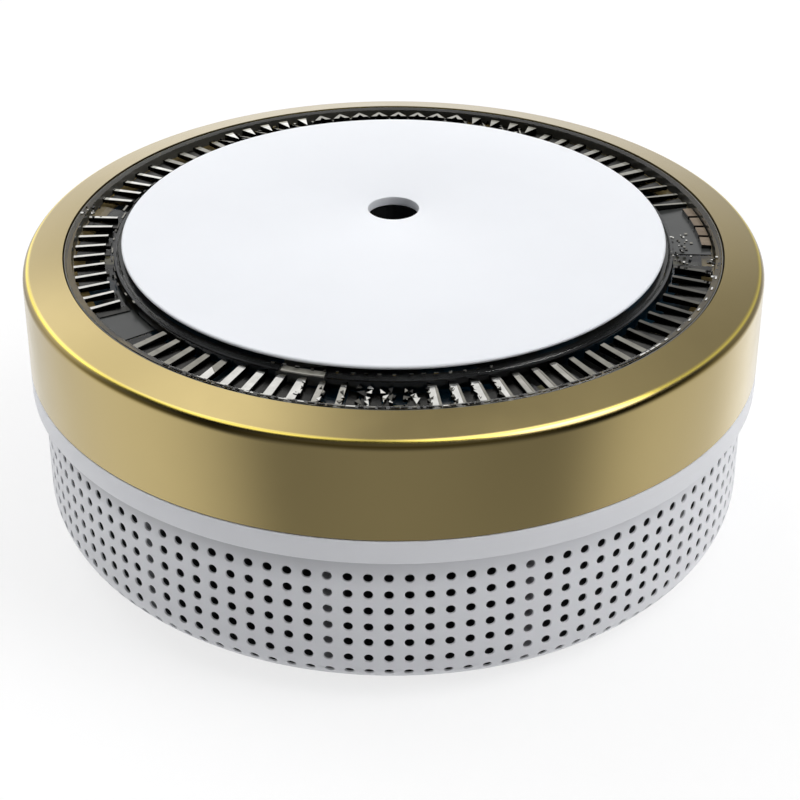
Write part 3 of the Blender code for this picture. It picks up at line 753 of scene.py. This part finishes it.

# Ribs by bearing: from, to, form, width at the outer end in mm, finish of the top, whose tone paints the
# light and shade on it at that bearing
ZONES = [
    (-181, -164, "gable", 1.5, MIDDLE),
    (-164, -142, "flag", 1.4, BRIGHT),
    (-142, -126, "plain", 1.10, MIDDLE),
    (-126, -108, "dotted", 0.80, BRIGHT),
    (-108, -102, "none", 0.0, DARK),
    (-102, -63, "plain", 0.70, BRIGHT),
    (-63, -52, "none", 0.0, DARK),
    (-52, -34, "plain", 1.20, MIDDLE),
    (-34, -30, "split", 1.35, BRIGHT),
    (-30, -14, "hooked", 1.35, BRIGHT),
    (-14, -8, "hooked", 0.95, LIGHT),
    (-8, 4, "broken", 1.3, DIM),
    (4, 20, "hooked", 1.45, BRIGHT),
    (20, 28, "hooked", 1.20, LIGHT),
    (28, 32, "hooked", 1.25, LIGHT),
    (32, 51, "plain", 1.10, MIDDLE),
    (51, 80, "plain", 0.80, DIM),
    (80, 88, "none", 0.0, DARK),
    (88, 106, "block", 0.0, WARM),
    (106, 122, "plain", 0.55, MIDDLE),
    (122, 150, "plain", 1.10, MIDDLE),
    (150, 166, "flag", 1.2, MIDDLE),
    (166, 181, "gable", 1.5, MIDDLE),
]


def ring_point(bearing, radius, height, across=0.0):
    """A point by bearing in degrees and radius, moved sideways towards larger bearings."""
    angle = math.radians(bearing)
    outward = Vector((math.sin(angle), -math.cos(angle), 0.0))
    side = Vector((math.cos(angle), math.sin(angle), 0.0))
    return outward * radius + side * across + Vector((0.0, 0.0, height))


def rib_height(radius):
    """Height of a rib's top at a radius."""
    share = (radius - RIB_INNER) / (RIB_OUTER - RIB_INNER)
    return RIB_HIGH - RIB_FALL * share


def add_prism(shape, bearing, corners, finish, lift=0.0, depth=None):
    """A flat-topped prism on a rib: corners are (radius, across), finish names its top."""
    floor = GROOVE if depth is None else rib_height(corners[0][0]) + lift - depth
    top = [shape.verts.new(ring_point(bearing, r, rib_height(r) + lift, across)) for r, across in corners]
    low = [shape.verts.new(ring_point(bearing, r, floor, across)) for r, across in corners]
    cap = shape.faces.new(top)
    base = shape.faces.new(low[::-1])
    cap.material_index = finish
    base.material_index = DARK
    for k in range(len(top)):
        after = (k + 1) % len(top)
        side = shape.faces.new((top[after], top[k], low[k], low[after]))
        side.material_index = DARK


def add_shard(shape, bearing, radius, across, size, finish, draw):
    """A small three-cornered glint with random proportions, on top of the ribs."""
    turn = draw.uniform(0.0, 2 * math.pi)
    corners = []
    for k in range(3):
        angle = turn + 2 * math.pi * k / 3 + draw.uniform(-0.5, 0.5)
        reach = size * draw.uniform(0.45, 1.0)
        corners.append((radius + reach * math.sin(angle), across + 0.7 * reach * math.cos(angle)))
    lift = draw.uniform(0.05, 0.16) * MM
    add_prism(shape, bearing, corners[::-1], finish, lift, 0.5 * MM)


def add_glint_chips(shape, bearing, draw, count, across, share, grow=1.0):
    """Painted glints, as shards scattered along a rib; share is the part of them that shines."""
    for k in range(count):
        radius = RIB_INNER + 0.5 * MM + (RIB_OUTER - RIB_INNER - 0.7 * MM) * (k + draw.random()) / count
        finish = BRIGHT if draw.random() < share else draw.choice((MIDDLE, DIM, DIM, DARK))
        offset = across + draw.uniform(-0.35, 0.35) * MM
        add_shard(shape, bearing, radius, offset, grow * draw.uniform(0.45, 0.95) * MM, finish, draw)


def inward_of(bearing):
    """Which way across a rib leads towards the front of the ring."""
    return -1.0 if bearing > 0 else 1.0


def rib_corners(bearing, out):
    """Corners of a plain rib's top: outer end, then inner end."""
    back = out * RIB_TAPER
    inner = RIB_INNER + (SHORT_BY if SHORT_SPAN[0] < bearing < SHORT_SPAN[1] else 0.0)
    return [(RIB_OUTER, -out), (RIB_OUTER, out), (inner, back), (inner, -back)]


# Every form of rib takes the same values: out is half its width at the outer end, draw the random draws

def add_plain_rib(shape, bearing, out, finish, draw):
    """A straight bar."""
    add_prism(shape, bearing, rib_corners(bearing, out), finish)


def add_dotted_rib(shape, bearing, out, finish, draw):
    """A straight bar with a painted highlight dot beyond its outer end."""
    add_plain_rib(shape, bearing, out, finish, draw)
    near, far = RIB_OUTER + 0.15 * MM, RIB_OUTER + 0.55 * MM
    add_prism(shape, bearing, [(far, -out), (far, out), (near, out), (near, -out)], BRIGHT, 0.1 * MM)


def add_split_rib(shape, bearing, out, finish, draw):
    """A bar cut aslant, with painted shade on its inner half."""
    slant = 0.55 * MM * inward_of(bearing)
    cut = RIB_INNER + (RIB_OUTER - RIB_INNER) * 0.48
    back = out * RIB_TAPER
    outer = [(RIB_OUTER, -out), (RIB_OUTER, out), (cut + slant, out), (cut - slant, -out)]
    inner = [(cut - slant, -out), (cut + slant, out), (RIB_INNER, back), (RIB_INNER, -back)]
    add_prism(shape, bearing, outer, finish)
    add_prism(shape, bearing, inner, MIDDLE)


def add_hooked_rib(shape, bearing, out, finish, draw):
    """A bar with one inner corner drawn out, painted glint chips near the front and a painted shaded edge
    on the right.
    """
    back = out * RIB_TAPER
    inward = inward_of(bearing)
    reach = draw.uniform(0.5, 0.9) * MM
    corners = rib_corners(bearing, out)
    corners[2 if inward > 0 else 3] = (RIB_INNER - reach, back * inward * 1.15)
    add_prism(shape, bearing, corners, finish)
    if abs(bearing) < 20:
        add_glint_chips(shape, bearing, draw, 5, inward * out, 0.35)
    if bearing > 4:
        edge = [(RIB_OUTER, out * 0.45), (RIB_OUTER, out * 1.1)]
        edge += [(RIB_INNER + 0.9 * MM, back * 1.1), (RIB_INNER + 0.5 * MM, back * 0.5)]
        add_prism(shape, bearing, edge, MIDDLE, 0.05 * MM)


def add_broken_rib(shape, bearing, out, finish, draw):
    """A gable of painted shade strewn with painted glint chips."""
    gable = [(RIB_OUTER, -1.2 * MM), (RIB_OUTER, 1.1 * MM), (RIB_INNER + 0.8 * MM, 0.2 * MM)]
    add_prism(shape, bearing, gable, DARK, -0.3 * MM)
    add_glint_chips(shape, bearing, draw, 5, 0.55 * MM, 0.40, 1.4)
    add_glint_chips(shape, bearing, draw, 4, -0.75 * MM, 0.15, 1.4)


def add_flag_rib(shape, bearing, out, finish, draw):
    """A three-cornered flag with a slanting stroke beside it."""
    tip = [(RIB_OUTER, -0.9 * MM), (RIB_OUTER, 0.75 * MM), (RIB_INNER + 2.6 * MM, -0.15 * MM)]
    add_prism(shape, bearing, tip, finish, 0.45 * MM)
    add_glint_chips(shape, bearing + 2.0, draw, 3, 0.0, 0.15)
    stroke = [(RIB_OUTER - 0.7 * MM, 0.8 * MM), (RIB_OUTER - 0.5 * MM, 1.1 * MM)]
    stroke += [(RIB_INNER + 1.8 * MM, -1.0 * MM), (RIB_INNER + 1.7 * MM, -1.5 * MM)]
    add_prism(shape, bearing + 1.6, stroke, MIDDLE)


def add_gable_rib(shape, bearing, out, finish, draw):
    """A chevron that points outwards, with painted glint chips beside it."""
    near, far = RIB_OUTER - 2.2 * MM, RIB_OUTER + 0.05 * MM
    roof = [(near, -1.5 * MM), (far, 0.0), (near, 1.5 * MM)]
    roof += [(near, 0.5 * MM), (far - 1.1 * MM, 0.0), (near, -0.5 * MM)]
    add_prism(shape, bearing, roof[::-1], finish, 0.60 * MM)
    add_glint_chips(shape, bearing + 2.0, draw, 5, 0.0, 0.25)


def add_block_rib(shape, bearing, out, finish, draw):
    """A warm block at the rim of a stretch without ribs."""
    near = RIB_OUTER - 1.6 * MM
    patch = [(RIB_OUTER, -1.45 * MM), (RIB_OUTER, 1.45 * MM), (near, 1.4 * MM), (near, -1.4 * MM)]
    add_prism(shape, bearing, patch, WARM)


FORMS = {
    "plain": add_plain_rib,
    "dotted": add_dotted_rib,
    "split": add_split_rib,
    "hooked": add_hooked_rib,
    "broken": add_broken_rib,
    "flag": add_flag_rib,
    "gable": add_gable_rib,
    "block": add_block_rib,
}


def zone_of(bearing):
    """The zone that a bearing lies in."""
    for zone in ZONES:
        if zone[0] <= bearing < zone[1]:
            return zone
    return ZONES[0]


def make_ribs(finishes):
    """Ninety radial ribs with mirror-like tops painted lighter and darker by bearing, and dark facets of
    painted shade in most of the gaps.
    """
    draw = random.Random(11)
    shape = bmesh.new()
    for rib in range(RIBS):
        bearing = 360.0 / RIBS * rib - 1.0
        if bearing >= 180.0:
            bearing -= 360.0
        _, _, form, width, finish = zone_of(bearing)
        if form in FORMS:
            FORMS[form](shape, bearing, width * MM / 2, finish, draw)
        # dark strips of painted shade in the gaps
        if form not in ("none", "block") and draw.random() < 0.65:
            radii = (RIB_INNER + draw.uniform(0.1, 1.6) * MM, RIB_OUTER - draw.uniform(0.1, 0.6) * MM)
            add_arc_strip(shape, radii, (bearing + 1.0, bearing + 3.0), GROOVE + 0.30 * MM, DARK)
    place(to_piece("light_guide_ribs", shape, finishes, 10.0), "clear_plastic")


def add_arc_strip(shape, radii, bearings, height, finish):
    """A thin raised strip between two radii and two bearings."""
    (near, far), (first, last) = radii, bearings
    low = height - STRIP_DEPTH
    steps = max(1, round((last - first) / 1.5))
    rows = []
    for radius, z in ((near, height), (far, height), (far, low), (near, low)):
        rows.append([shape.verts.new(ring_point(first + (last - first) * k / steps, radius, z))
                     for k in range(steps + 1)])
    for row, after in zip(rows, rows[1:] + rows[:1]):
        for k in range(steps):
            face = shape.faces.new((row[k], row[k + 1], after[k + 1], after[k]))
            face.material_index = finish
    for k in (0, steps):
        shape.faces.new([row[k] for row in rows]).material_index = finish


def add_rim_dashes(shape, draw):
    """Uneven dashes of painted glint and painted shade along the front of the outer rim, then even bright
    painted glints on the right.
    """
    near, height = 52.40 * MM, 48.92 * MM
    bearing = -40.0
    while bearing < 48.0:
        length = draw.uniform(0.4, 1.5)
        finish = draw.choice((BRIGHT, DARK, MIDDLE, DARK, DIM, DARK, DIM))
        radii = (near + draw.uniform(0.0, 0.1) * MM, 52.72 * MM)
        add_arc_strip(shape, radii, (bearing, bearing + length), height, finish)
        bearing += length + draw.uniform(0.1, 0.9)
    for dash in range(7):
        start = 50.5 + 4.0 * dash
        add_arc_strip(shape, (near, 52.66 * MM), (start, start + 0.9), height, BRIGHT)


def add_disc_specks(shape, draw):
    """Painted glints as specks beside the disc's front edge."""
    for speck in range(17):
        start = -24.0 + 2.65 * speck + draw.uniform(-0.4, 0.4)
        near = 44.15 * MM + draw.uniform(0.0, 0.15) * MM
        bearings = (start, start + draw.uniform(0.4, 0.9))
        finish = draw.choice((BRIGHT, BRIGHT, MIDDLE))
        add_arc_strip(shape, (near, near + 0.30 * MM), bearings, 49.5 * MM, finish)


def add_inner_strokes(shape, draw):
    """Faint strokes of painted light and shade inside the ribs on the left."""
    for stroke in range(24):
        start = -152.0 + 3.9 * stroke + draw.uniform(-0.5, 0.5)
        near = draw.uniform(45.3, 46.0) * MM
        radii = (near, near + draw.uniform(0.12, 0.35) * MM)
        bearings = (start, start + draw.uniform(0.8, 3.0))
        add_arc_strip(shape, radii, bearings, 49.0 * MM, draw.choice((MIDDLE, DIM, DIM, DARK)))


# Clusters of small glints: radii in mm, bearings, count
CLUSTERS = [
    ((50.6, 52.6), (75.0, 83.0), 26),
    ((44.8, 48.2), (79.0, 92.0), 34),
    ((50.4, 52.6), (-104.0, -99.0), 12),
]


def add_clusters(shape, draw):
    """Dense patches of small glints."""
    for radii, bearings, count in CLUSTERS:
        for _ in range(count):
            start = draw.uniform(*bearings)
            near = draw.uniform(*radii) * MM
            size = draw.uniform(0.15, 0.5)
            span = (start, start + size * draw.uniform(0.8, 1.6))
            height = (48.6 + draw.uniform(0.0, 0.4)) * MM
            finish = draw.choice((BRIGHT, MIDDLE, DIM, DARK))
            add_arc_strip(shape, (near, near + size * MM), span, height, finish)


def make_glints(finishes):
    """All the small glints of the clear ring outside its ribs."""
    draw = random.Random(5)
    shape = bmesh.new()
    add_rim_dashes(shape, draw)
    add_disc_specks(shape, draw)
    add_inner_strokes(shape, draw)
    add_clusters(shape, draw)
    bmesh.ops.recalc_face_normals(shape, faces=shape.faces)
    place(to_piece("light_guide_glints", shape, finishes, 10.0), "clear_plastic")


# Clear ring's own section
GUIDE_OUTER = 53.05 * MM
GUIDE_INNER = 41.5 * MM
GUIDE_TOP = 48.75 * MM
# Bands laid in beside the ribs: a dark band inside them for the ring's smoky tint together with painted
# shade under the disc, a grey band of painted reflection outside them, and the pale strip over the
# socket: radii, bearings
BAND_TOP = 48.85 * MM
SMOKY_SHADE_STRIP = ((43.6 * MM, 45.25 * MM), (-12.5, 338.0))
SOCKET_STRIP = ((43.9 * MM, 45.1 * MM), (-21.5, -13.0))
RIM_BAND_R = (53.00 * MM, 53.22 * MM)
RIM_BAND_Z = (46.10 * MM, 48.70 * MM)


def make_guide_body(clear):
    """Clear ring: plain outer rim, a groove under the ribs and a smooth inner band."""
    shape = bmesh.new()
    outline = [
        (GUIDE_OUTER, GUIDE_TOP),
        (GUIDE_OUTER - 0.1 * MM, GUIDE_TOP + 0.1 * MM),
        (52.05 * MM, GUIDE_TOP),
        (51.90 * MM, GROOVE),
        (RIB_INNER - 0.35 * MM, GROOVE),
        (RIB_INNER - 0.75 * MM, GUIDE_TOP),
        (44.75 * MM, 48.95 * MM),
        (44.60 * MM, 48.85 * MM),
        (44.45 * MM, 49.05 * MM),
        (GUIDE_INNER, 49.35 * MM),
        (GUIDE_INNER, 46.90 * MM),
        (GUIDE_OUTER, 46.00 * MM),
    ]
    add_turned(shape, outline, 2 * ROUND)
    place(to_piece("light_guide", shape, [clear]), "clear_plastic", "light_ring")


def make_pads(material):
    """Flat rib-less pads and the legs below them."""
    shape = bmesh.new()
    for bearing, width in LEGS:
        half = width * MM / 2
        low = Vector((-half, -49.6 * MM, 40.2 * MM))
        high = Vector((half, -48.0 * MM, 46.0 * MM))
        centre = Matrix.Translation((low + high) / 2)
        size = Matrix.Diagonal((*(high - low), 1.0))
        turn = Matrix.Rotation(math.radians(bearing), 4, 'Z')
        bmesh.ops.create_cube(shape, size=1.0, matrix=turn @ centre @ size)
    bmesh.ops.bevel(shape, geom=shape.edges[:], offset=0.15 * MM, segments=2, affect='EDGES')
    for bearings in PADS:
        add_arc_strip(shape, (RIB_INNER - 0.2 * MM, 51.6 * MM), bearings, GROOVE + 0.12 * MM, 0)
    bmesh.ops.recalc_face_normals(shape, faces=shape.faces)
    place(to_piece("light_guide_pads", shape, [material]), "clear_plastic")


def make_bands():
    """A dark band of the ring's smoky tint and painted shade inside the ribs, a grey band of painted
    reflection outside them, with the pale strip over the socket.
    """
    shape = bmesh.new()
    add_arc_strip(shape, *SMOKY_SHADE_STRIP, BAND_TOP, 0)
    add_arc_strip(shape, *SOCKET_STRIP, BAND_TOP, 1)
    bmesh.ops.recalc_face_normals(shape, faces=shape.faces)
    smoky = moulded("smoky_band_painted_shade", (0.022, 0.023, 0.024), 0.14, 700.0, 0.02, 0.6)
    pale = moulded("socket_top", PALE, 0.45)
    place(to_piece("light_guide_inner_band", shape, [smoky, pale]), "clear_plastic")
    (near, far), (low, high) = RIM_BAND_R, RIM_BAND_Z
    rim = moulded("rim_painted_reflection", (0.11, 0.107, 0.095), 0.25, 700.0, 0.01, 0.35)
    outline = [(near, high), (near, low), (far, low), (far, high)]
    place(turned("light_guide_outer_band", outline, rim, 2 * ROUND), "clear_plastic")


def clear_material():
    """Smoky clear plastic that lets the light through to what lies under it."""
    made, tree, shader = new_material("clear_smoky")
    shader.inputs["Base Color"].default_value = (0.72, 0.72, 0.70, 1.0)
    shader.inputs["Transmission Weight"].default_value = 1.0
    shader.inputs["IOR"].default_value = 1.45
    shader.inputs["Specular IOR Level"].default_value = 0.5
    gloss = add_range(tree, add_noise(tree, 300.0, 2.0), 0.01, 0.04)
    tree.links.new(gloss, shader.inputs["Roughness"])
    add_bump(tree, shader, add_noise(tree, 400.0, 2.0), 0.004 * MM)
    path = tree.nodes.new("ShaderNodeLightPath")
    through = add_math(tree, 'MAXIMUM', path.outputs["Is Shadow Ray"], path.outputs["Is Diffuse Ray"])
    through = add_math(tree, 'MAXIMUM', through, path.outputs["Is Glossy Ray"])
    open_way = tree.nodes.new("ShaderNodeBsdfTransparent")
    open_way.inputs["Color"].default_value = (0.80, 0.80, 0.78, 1.0)
    mix = tree.nodes.new("ShaderNodeMixShader")
    output = tree.nodes["Material Output"]
    tree.links.new(through, mix.inputs["Fac"])
    tree.links.new(shader.outputs[0], mix.inputs[1])
    tree.links.new(open_way.outputs[0], mix.inputs[2])
    tree.links.new(mix.outputs[0], output.inputs["Surface"])
    return made


def facet_material(name, dark, light, low=0.05, high=0.14):
    """Polished prism face with a slightly uneven tone; its colour sets how much painted light the face
    shows.
    """
    made, tree, shader = new_material(name)
    shader.inputs["Metallic"].default_value = 1.0
    tone = add_range(tree, add_noise(tree, 500.0, 3.0), 0.0, 1.0)
    colours = add_colour_mix(tree, tone, dark, light)
    tree.links.new(colours, shader.inputs["Base Color"])
    gloss = add_range(tree, add_noise(tree, 300.0, 2.0), low, high)
    tree.links.new(gloss, shader.inputs["Roughness"])
    return made


def make_facets():
    """Finishes of the prism faces, in the order of their names above: bright to dark, warm, light; the
    same mirror at several strengths, painting how lit or shaded each face looks.
    """
    return [
        facet_material("facet_bright", (0.74, 0.73, 0.69), (0.92, 0.91, 0.87)),
        facet_material("facet_middle", (0.26, 0.25, 0.22), (0.36, 0.35, 0.31)),
        facet_material("facet_dim", (0.08, 0.078, 0.07), (0.14, 0.135, 0.12)),
        facet_material("facet_dark", (0.030, 0.030, 0.029), (0.065, 0.063, 0.058), 0.12, 0.25),
        facet_material("facet_warm", (0.17, 0.125, 0.085), (0.26, 0.20, 0.14), 0.2, 0.3),
        facet_material("facet_light", (0.42, 0.41, 0.37), (0.60, 0.58, 0.53)),
    ]


# ---------------------------------------------------------------- finish of the carried-over CAD nodes

def paint_nodes(materials):
    """Give every CAD node that stays its material."""
    slots = {row["node"]: row["material_slot"] for row in frame["record"]["subparts"]}
    for name, node in frame["nodes"].items():
        node.data.materials.clear()
        node.data.materials.append(materials[slots[name]])


def board_material(name):
    """Solder mask, near black and deep blue in random patches."""
    made, tree, shader = new_material(name)
    patches = add_range(tree, add_noise(tree, 85.0, 1.0), 0.0, 1.0, 0.49, 0.56)
    colours = add_colour_mix(tree, patches, (0.034, 0.036, 0.037), (0.010, 0.075, 0.150))
    tree.links.new(colours, shader.inputs["Base Color"])
    gloss = add_range(tree, add_noise(tree, 700.0, 2.0), 0.25, 0.45)
    tree.links.new(gloss, shader.inputs["Roughness"])
    add_bump(tree, shader, add_noise(tree, 900.0, 2.0), 0.01 * MM)
    return made


def make_materials():
    """All materials by slot name."""
    return {
        "disc_plastic": moulded("disc_plastic", (0.86, 0.88, 0.92), 0.32, 3000.0, 0.002, 0.01),
        "white_plastic": moulded("white_plastic", WHITE, 0.45, 3200.0, 0.004, 0.015),
        "gold_metal": gold_material(),
        "clear_plastic": clear_material(),
        "black_plastic": moulded("black_plastic", (0.012, 0.012, 0.013), 0.45),
        "rubber": moulded("rubber", (0.045, 0.045, 0.047), 0.75, 1800.0, 0.02),
        "steel": moulded("steel", (0.56, 0.55, 0.52), 0.32, 4000.0, 0.002, 0.06, 1.0),
        "blue_board": board_material("blue_board"),
        "green_board": moulded("green_board", (0.012, 0.09, 0.035), 0.32, 900.0, 0.01, 0.15),
        "pale_plastic": moulded("pale_plastic", PALE, 0.45),
        "led_package": moulded("led_package", (0.80, 0.74, 0.45), 0.25),
        "sensor_case": moulded("sensor_case", (0.03, 0.06, 0.18), 0.45),
        "module_case": moulded("module_case", (0.62, 0.58, 0.46), 0.40),
        "battery_wrap": moulded("battery_wrap", (0.35, 0.38, 0.44), 0.38, 700.0, 0.02, 0.05, 0.6),
    }


def main():
    """Build everything."""
    bpy.context.scene.view_settings.view_transform = 'Standard'
    make_camera()
    make_world()
    make_floor()
    materials = make_materials()
    paint_nodes(materials)
    make_disc(materials["disc_plastic"])
    inner_gold = moulded("gold_inner", INNER_GOLD, 0.45, 3000.0, 0.002, 0.05, 0.35)
    make_gold_ring(materials["gold_metal"], inner_gold)
    make_housing(materials["white_plastic"])
    make_wall(wall_material())
    make_wall_ribs(materials["white_plastic"])
    make_guide_body(materials["clear_plastic"])
    facets = make_facets()
    make_ribs(facets)
    make_glints(facets)
    make_pads(moulded("smoky_pad", (0.045, 0.047, 0.046), 0.22, 900.0, 0.01, 0.25))
    make_bands()


main()
